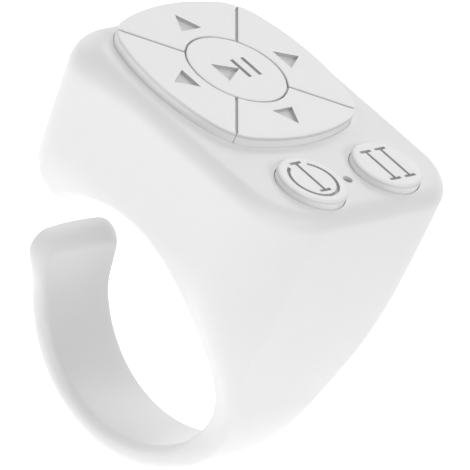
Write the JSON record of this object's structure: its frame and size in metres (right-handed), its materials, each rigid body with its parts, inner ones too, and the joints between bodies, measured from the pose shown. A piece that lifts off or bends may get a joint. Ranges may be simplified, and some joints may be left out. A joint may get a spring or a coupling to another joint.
{
  "type": "page turner remote",
  "caption": "Finger ring remote control: an open moulded band carries a head with a four-way pad, a centre key and small round keys.",
  "frame": {"origin": "centre of the finger hole, half way along the finger", "axes": "+Y along the finger, +Z from the finger to the key face, +X from the four-way pad to the small round keys"},
  "size_m": [0.0293, 0.024, 0.0352],
  "materials": {
    "housing_white": "satin white moulded plastic",
    "cover_white": "satin white moulded plastic",
    "key_white": "satin white moulded plastic",
    "screw_steel": "zinc plated steel",
    "frame_plastic": "natural moulded plastic",
    "board_green": "green solder mask",
    "socket_steel": "pressed stainless steel",
    "socket_black": "black moulded plastic",
    "contact_gold": "gold plated",
    "chip_black": "black moulding compound",
    "crystal_steel": "metal can",
    "ceramic_blue": "ceramic",
    "ceramic_tan": "ceramic",
    "led_white": "clear moulding",
    "pipe_smoke": "smoke tinted clear plastic",
    "battery_foil": "aluminium laminated pouch",
    "lead_red": "insulated wire",
    "lead_black": "insulated wire",
    "foam_black": "closed cell foam",
    "switch_black": "black moulded plastic",
    "plunger_cream": "moulded plastic"
  },
  "bodies": {
    "casing": {"ring_housing": "housing_white", "finger_side_cover": "cover_white", "cover_screws": "screw_steel", "key_guide_frame": "frame_plastic", "board_screws": "screw_steel", "main_board": "board_green", "usb_shell": "socket_steel", "usb_tongue": "socket_black", "usb_contacts": "contact_gold", "radio_chip": "chip_black", "radio_crystal": "crystal_steel", "chip_antenna": "ceramic_blue", "charger_chip": "chip_black", "capacitors": "ceramic_tan", "resistors": "chip_black", "status_led": "led_white", "light_pipe": "pipe_smoke", "battery_cell": "battery_foil", "battery_protection_board": "board_green", "battery_lead_red": "lead_red", "battery_lead_black": "lead_black", "foam_pad": "foam_black", "switch_base_up": "switch_black", "switch_base_down": "switch_black", "switch_base_left": "switch_black", "switch_base_right": "switch_black", "switch_base_center": "switch_black", "switch_base_power": "switch_black", "switch_base_two": "switch_black"},
    "up_key": {"key_up": "key_white", "switch_plunger_up": "plunger_cream"},
    "down_key": {"key_down": "key_white", "switch_plunger_down": "plunger_cream"},
    "left_key": {"key_left": "key_white", "switch_plunger_left": "plunger_cream"},
    "right_key": {"key_right": "key_white", "switch_plunger_right": "plunger_cream"},
    "center_key": {"key_center": "key_white", "switch_plunger_center": "plunger_cream"},
    "power_key": {"key_power": "key_white", "switch_plunger_power": "plunger_cream"},
    "two_key": {"key_two": "key_white", "switch_plunger_two": "plunger_cream"}
  },
  "joints": [
    {"name": "up_key_press", "type": "slide", "parent": "casing", "child": "up_key", "axis": [0, 0, -1], "range_m": [0, 0.0003], "stiffness_N_per_m": 2500},
    {"name": "down_key_press", "type": "slide", "parent": "casing", "child": "down_key", "axis": [0, 0, -1], "range_m": [0, 0.0003], "stiffness_N_per_m": 2500},
    {"name": "left_key_press", "type": "slide", "parent": "casing", "child": "left_key", "axis": [0, 0, -1], "range_m": [0, 0.0003], "stiffness_N_per_m": 2500},
    {"name": "right_key_press", "type": "slide", "parent": "casing", "child": "right_key", "axis": [0, 0, -1], "range_m": [0, 0.0003], "stiffness_N_per_m": 2500},
    {"name": "center_key_press", "type": "slide", "parent": "casing", "child": "center_key", "axis": [0, 0, -1], "range_m": [0, 0.0003], "stiffness_N_per_m": 2500},
    {"name": "power_key_press", "type": "slide", "parent": "casing", "child": "power_key", "axis": [0, 0, -1], "range_m": [0, 0.0003], "stiffness_N_per_m": 2500},
    {"name": "two_key_press", "type": "slide", "parent": "casing", "child": "two_key", "axis": [0, 0, -1], "range_m": [0, 0.0003], "stiffness_N_per_m": 2500}
  ]
}
